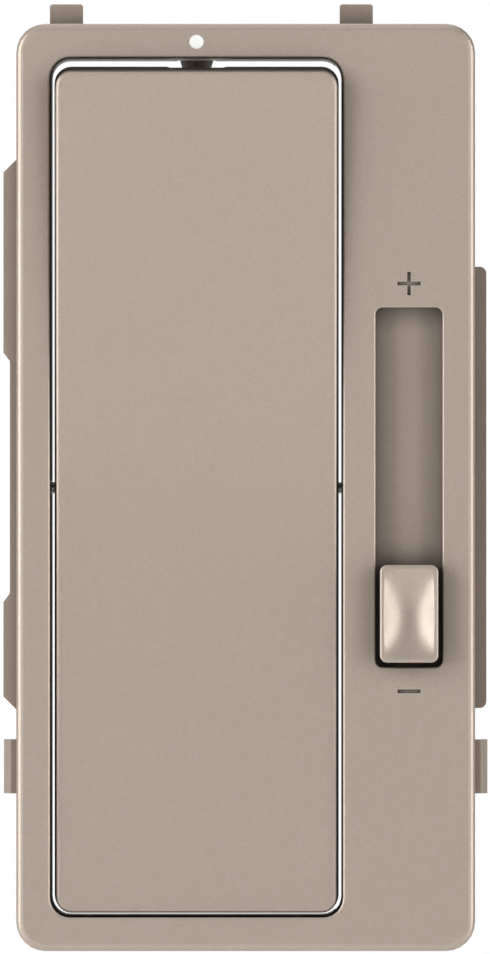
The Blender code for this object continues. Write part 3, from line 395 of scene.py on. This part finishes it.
def milky_acrylic():
    """Milky light pipe plastic, with a painted glow that stands in for the room's light passing through
    it from behind.
    """
    made, nodes, links, shader = new_material("milky_acrylic")
    place = nodes.new("ShaderNodeTexCoord").outputs["Object"]
    haze = noise(nodes, links, place, ACRYLIC_HAZE_SCALE)
    tone = blend_colours(nodes, links, spread(nodes, links, haze, 0.0, 1.0), ACRYLIC, ACRYLIC_HAZE)
    links.new(tone, shader.inputs["Base Color"])
    roughness = spread(nodes, links, haze, ACRYLIC_SMOOTHEST, ACRYLIC_ROUGHEST)
    links.new(roughness, shader.inputs["Roughness"])
    # Painted glow: the unlit light pipe is made to shine as if lit from behind.
    shader.inputs["Emission Color"].default_value = (*ACRYLIC_PAINTED_GLOW_COLOUR, 1.0)
    shader.inputs["Emission Strength"].default_value = ACRYLIC_PAINTED_GLOW
    shader.inputs["Subsurface Weight"].default_value = ACRYLIC_DEPTH_SHARE
    shader.inputs["Subsurface Radius"].default_value = ACRYLIC_DEPTH
    return made


# ---------------------------------------------------------------- pieces

def refine(node, rounding):
    """Weld a piece, round its sharp edges and shade its flats flat."""
    weld = node.modifiers.new("weld", "WELD")
    weld.merge_threshold = SMALLEST_WELD
    flatten = node.modifiers.new("merge_flats", "DECIMATE")
    flatten.decimate_type = "DISSOLVE"
    flatten.angle_limit = FLAT_ANGLE
    if rounding:
        edges = node.modifiers.new("edge_round", "BEVEL")
        edges.width = rounding
        edges.segments = ROUNDING_SEGMENTS
        edges.limit_method = "ANGLE"
        edges.angle_limit = ROUNDING_ANGLE
    split = node.modifiers.new("crease", "EDGE_SPLIT")
    split.split_angle = SPLIT_ANGLE
    split.use_edge_sharp = False
    shading = node.modifiers.new("even_shading", "WEIGHTED_NORMAL")
    shading.keep_sharp = True
    shading.weight = FLAT_WEIGHT


def finish_pieces(finishes):
    """Give each piece its finish and its fine edges."""
    for part in frame["record"]["subparts"]:
        node = frame["nodes"][part["node"]]
        node.data.materials.clear()
        node.data.materials.append(finishes[part["material_slot"]])
        refine(node, ROUNDINGS[part["material_slot"]])


# ---------------------------------------------------------------- knob

def fine_outline(width, height, radius):
    """Points (x, z) round a rounded rectangle, with its straight sides divided too."""
    points = []
    across = width / 2 - radius
    along = height / 2 - radius
    corners = ((across, along), (-across, along), (-across, -along), (across, -along))
    for index, (x, z) in enumerate(corners):
        for step in range(CORNER_STEPS + 1):
            angle = math.pi / 2 * (index + step / CORNER_STEPS)
            points.append((x + radius * math.cos(angle), z + radius * math.sin(angle)))
        next_x, next_z = corners[(index + 1) % len(corners)]
        last_x, last_z = points[-1]
        run_x = next_x - x
        run_z = next_z - z
        divisions = max(2, round(math.hypot(run_x, run_z) / SIDE_STEP))
        for step in range(1, divisions):
            points.append((last_x + run_x * step / divisions, last_z + run_z * step / divisions))
    return points


def knob_rings(width, height, front, back):
    """Rings of points from the back edge of the knob to the middle of its dished front."""
    rings = []
    steps = [(0.0, back)]
    for step in range(FILLET_STEPS + 1):
        angle = math.pi / 2 * step / FILLET_STEPS
        steps.append((KNOB_FILLET * (1 - math.cos(angle)), front + KNOB_FILLET * (1 - math.sin(angle))))
    for inset, y in steps:
        outline = fine_outline(width - 2 * inset, height - 2 * inset, KNOB_CORNER - inset)
        rings.append([(x, y, z) for x, z in outline])
    rim = fine_outline(width - 2 * KNOB_RIM, height - 2 * KNOB_RIM, KNOB_CORNER - KNOB_RIM)
    half_x = width / 2 - KNOB_RIM
    half_z = height / 2 - KNOB_RIM
    for step in range(DISH_RINGS, 0, -1):
        share = step / DISH_RINGS
        ring = []
        for x, z in rim:
            across = x * share / half_x
            along = z * share / half_z
            dip = KNOB_DISH * (1 - across * across) * (1 - along * along)
            ring.append((x * share, front + dip, z * share))
        rings.append(ring)
    return rings


def knob_mesh(low, high, centre):
    """The knob's body: a ring of faces between each two outlines, closed front and back."""
    builder = bmesh.new()
    rings = knob_rings(high.x - low.x, high.z - low.z, low.y, low.y + KNOB_BODY)
    loops = [[builder.verts.new((centre.x + x, y, centre.z + z)) for x, y, z in ring] for ring in rings]
    count = len(loops[0])
    for outer, inner in zip(loops, loops[1:]):
        for index in range(count):
            after = (index + 1) % count
            builder.faces.new((outer[index], outer[after], inner[after], inner[index]))
    middle = builder.verts.new((centre.x, low.y + KNOB_DISH, centre.z))
    for index in range(count):
        builder.faces.new((loops[-1][index], loops[-1][(index + 1) % count], middle))
    builder.faces.new(loops[0])
    bmesh.ops.recalc_face_normals(builder, faces=builder.faces)
    mesh = bpy.data.meshes.new("slider_knob_body")
    builder.to_mesh(mesh)
    builder.free()
    mesh.shade_smooth()
    mesh.set_sharp_from_angle(angle=KNOB_SHARP_ANGLE)
    return mesh


def satin_knob(paint):
    """The knob's body with a smoothly dished front, and its stem."""
    low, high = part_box("slider_knob")
    centre = (low + high) / 2
    body = bpy.data.objects.new("slider_knob_body", knob_mesh(low, high, centre))
    bpy.context.scene.collection.objects.link(body)
    stem_length = high.y - low.y - KNOB_BODY
    bpy.ops.mesh.primitive_cube_add(size=1.0, location=(centre.x, high.y - stem_length / 2, centre.z))
    stem = bpy.context.object
    stem.name = "slider_knob_stem"
    stem.data.transform(Matrix.Diagonal((STEM_WIDTH, stem_length, STEM_HEIGHT, 1.0)))
    rounding = stem.modifiers.new("edge_round", "BEVEL")
    rounding.width = STEM_ROUNDING
    rounding.segments = ROUNDING_SEGMENTS
    for piece in (body, stem):
        piece.data.materials.append(paint)
        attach(piece, "slider")
    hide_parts("slider_knob")


# ---------------------------------------------------------------- studio

def pale_floor():
    """A round white floor well below the cover."""
    bpy.ops.mesh.primitive_circle_add(vertices=FLOOR_SIDES, radius=FLOOR_RADIUS, fill_type="NGON",
                                      location=(0, 0, cad_low.z - FLOOR_DROP))
    floor = bpy.context.object
    floor.name = "pale_floor"
    made, _, _, shader = new_material("pale_floor")
    shader.inputs["Base Color"].default_value = (*FLOOR_COLOUR, 1.0)
    shader.inputs["Roughness"].default_value = FLOOR_ROUGHNESS
    floor.data.materials.append(made)


def softbox(name, location, size, power):
    """A rectangular area light aimed at the cover."""
    light = bpy.data.lights.new(name, "AREA")
    light.shape = "RECTANGLE"
    light.size, light.size_y = size
    light.energy = power
    made = bpy.data.objects.new(name, light)
    bpy.context.scene.collection.objects.link(made)
    made.location = location
    aim = Vector(LIGHT_TARGET) - Vector(location)
    made.rotation_euler = aim.to_track_quat("-Z", "Y").to_euler()
    made.visible_camera = False


def studio():
    """A white room with softboxes to the left, the right, above, in front and high behind."""
    world = bpy.data.worlds.new("white_studio")
    world.use_nodes = True
    nodes = world.node_tree.nodes
    links = world.node_tree.links
    seen = nodes["Background"]
    seen.inputs["Color"].default_value = (*BACKDROP_COLOUR, 1.0)
    seen.inputs["Strength"].default_value = BACKDROP_STRENGTH
    fill = nodes.new("ShaderNodeBackground")
    fill.inputs["Color"].default_value = (*FILL_COLOUR, 1.0)
    fill.inputs["Strength"].default_value = FILL_STRENGTH
    path = nodes.new("ShaderNodeLightPath")
    either = nodes.new("ShaderNodeMixShader")
    links.new(path.outputs["Is Camera Ray"], either.inputs["Fac"])
    links.new(fill.outputs["Background"], either.inputs[1])
    links.new(seen.outputs["Background"], either.inputs[2])
    links.new(either.outputs["Shader"], nodes["World Output"].inputs["Surface"])
    bpy.context.scene.world = world
    for name, location, size, power in SOFTBOXES:
        softbox(name, location, size, power)
    bpy.context.scene.view_settings.view_transform = "Standard"


def camera():
    """The front view, level and square to the face."""
    made = bpy.data.cameras.new("front_camera")
    made.sensor_width = SENSOR_MM
    made.lens = SENSOR_MM * CAMERA_DISTANCE / VIEW_HEIGHT
    made.clip_start = CLIP_START
    made.clip_end = CLIP_END
    placed = bpy.data.objects.new("front_camera", made)
    bpy.context.scene.collection.objects.link(placed)
    face_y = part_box("face_frame")[0].y
    placed.location = (VIEW_CENTRE_X, face_y - CAMERA_DISTANCE, VIEW_CENTRE_Z)
    placed.rotation_euler = (math.pi / 2, 0, 0)
    bpy.context.scene.camera = placed


nickel = nickel_paint()
finish_pieces({
    "nickel_paint": nickel,
    # Dark plastic, its tone partly painted shade.
    "dark_plastic": moulded_plastic("dark_plastic", DARK_PLASTIC_AND_SHADE, DARK_PLASTIC_ROUGHNESS,
                                    DARK_PLASTIC_METALLIC),
    "acetal": moulded_plastic("black_acetal", ACETAL, ACETAL_ROUGHNESS),
    "rubber": soft_rubber(),
    "steel": bright_steel(),
    "acrylic": milky_acrylic(),
})
satin_knob(nickel)
studio()
pale_floor()
camera()
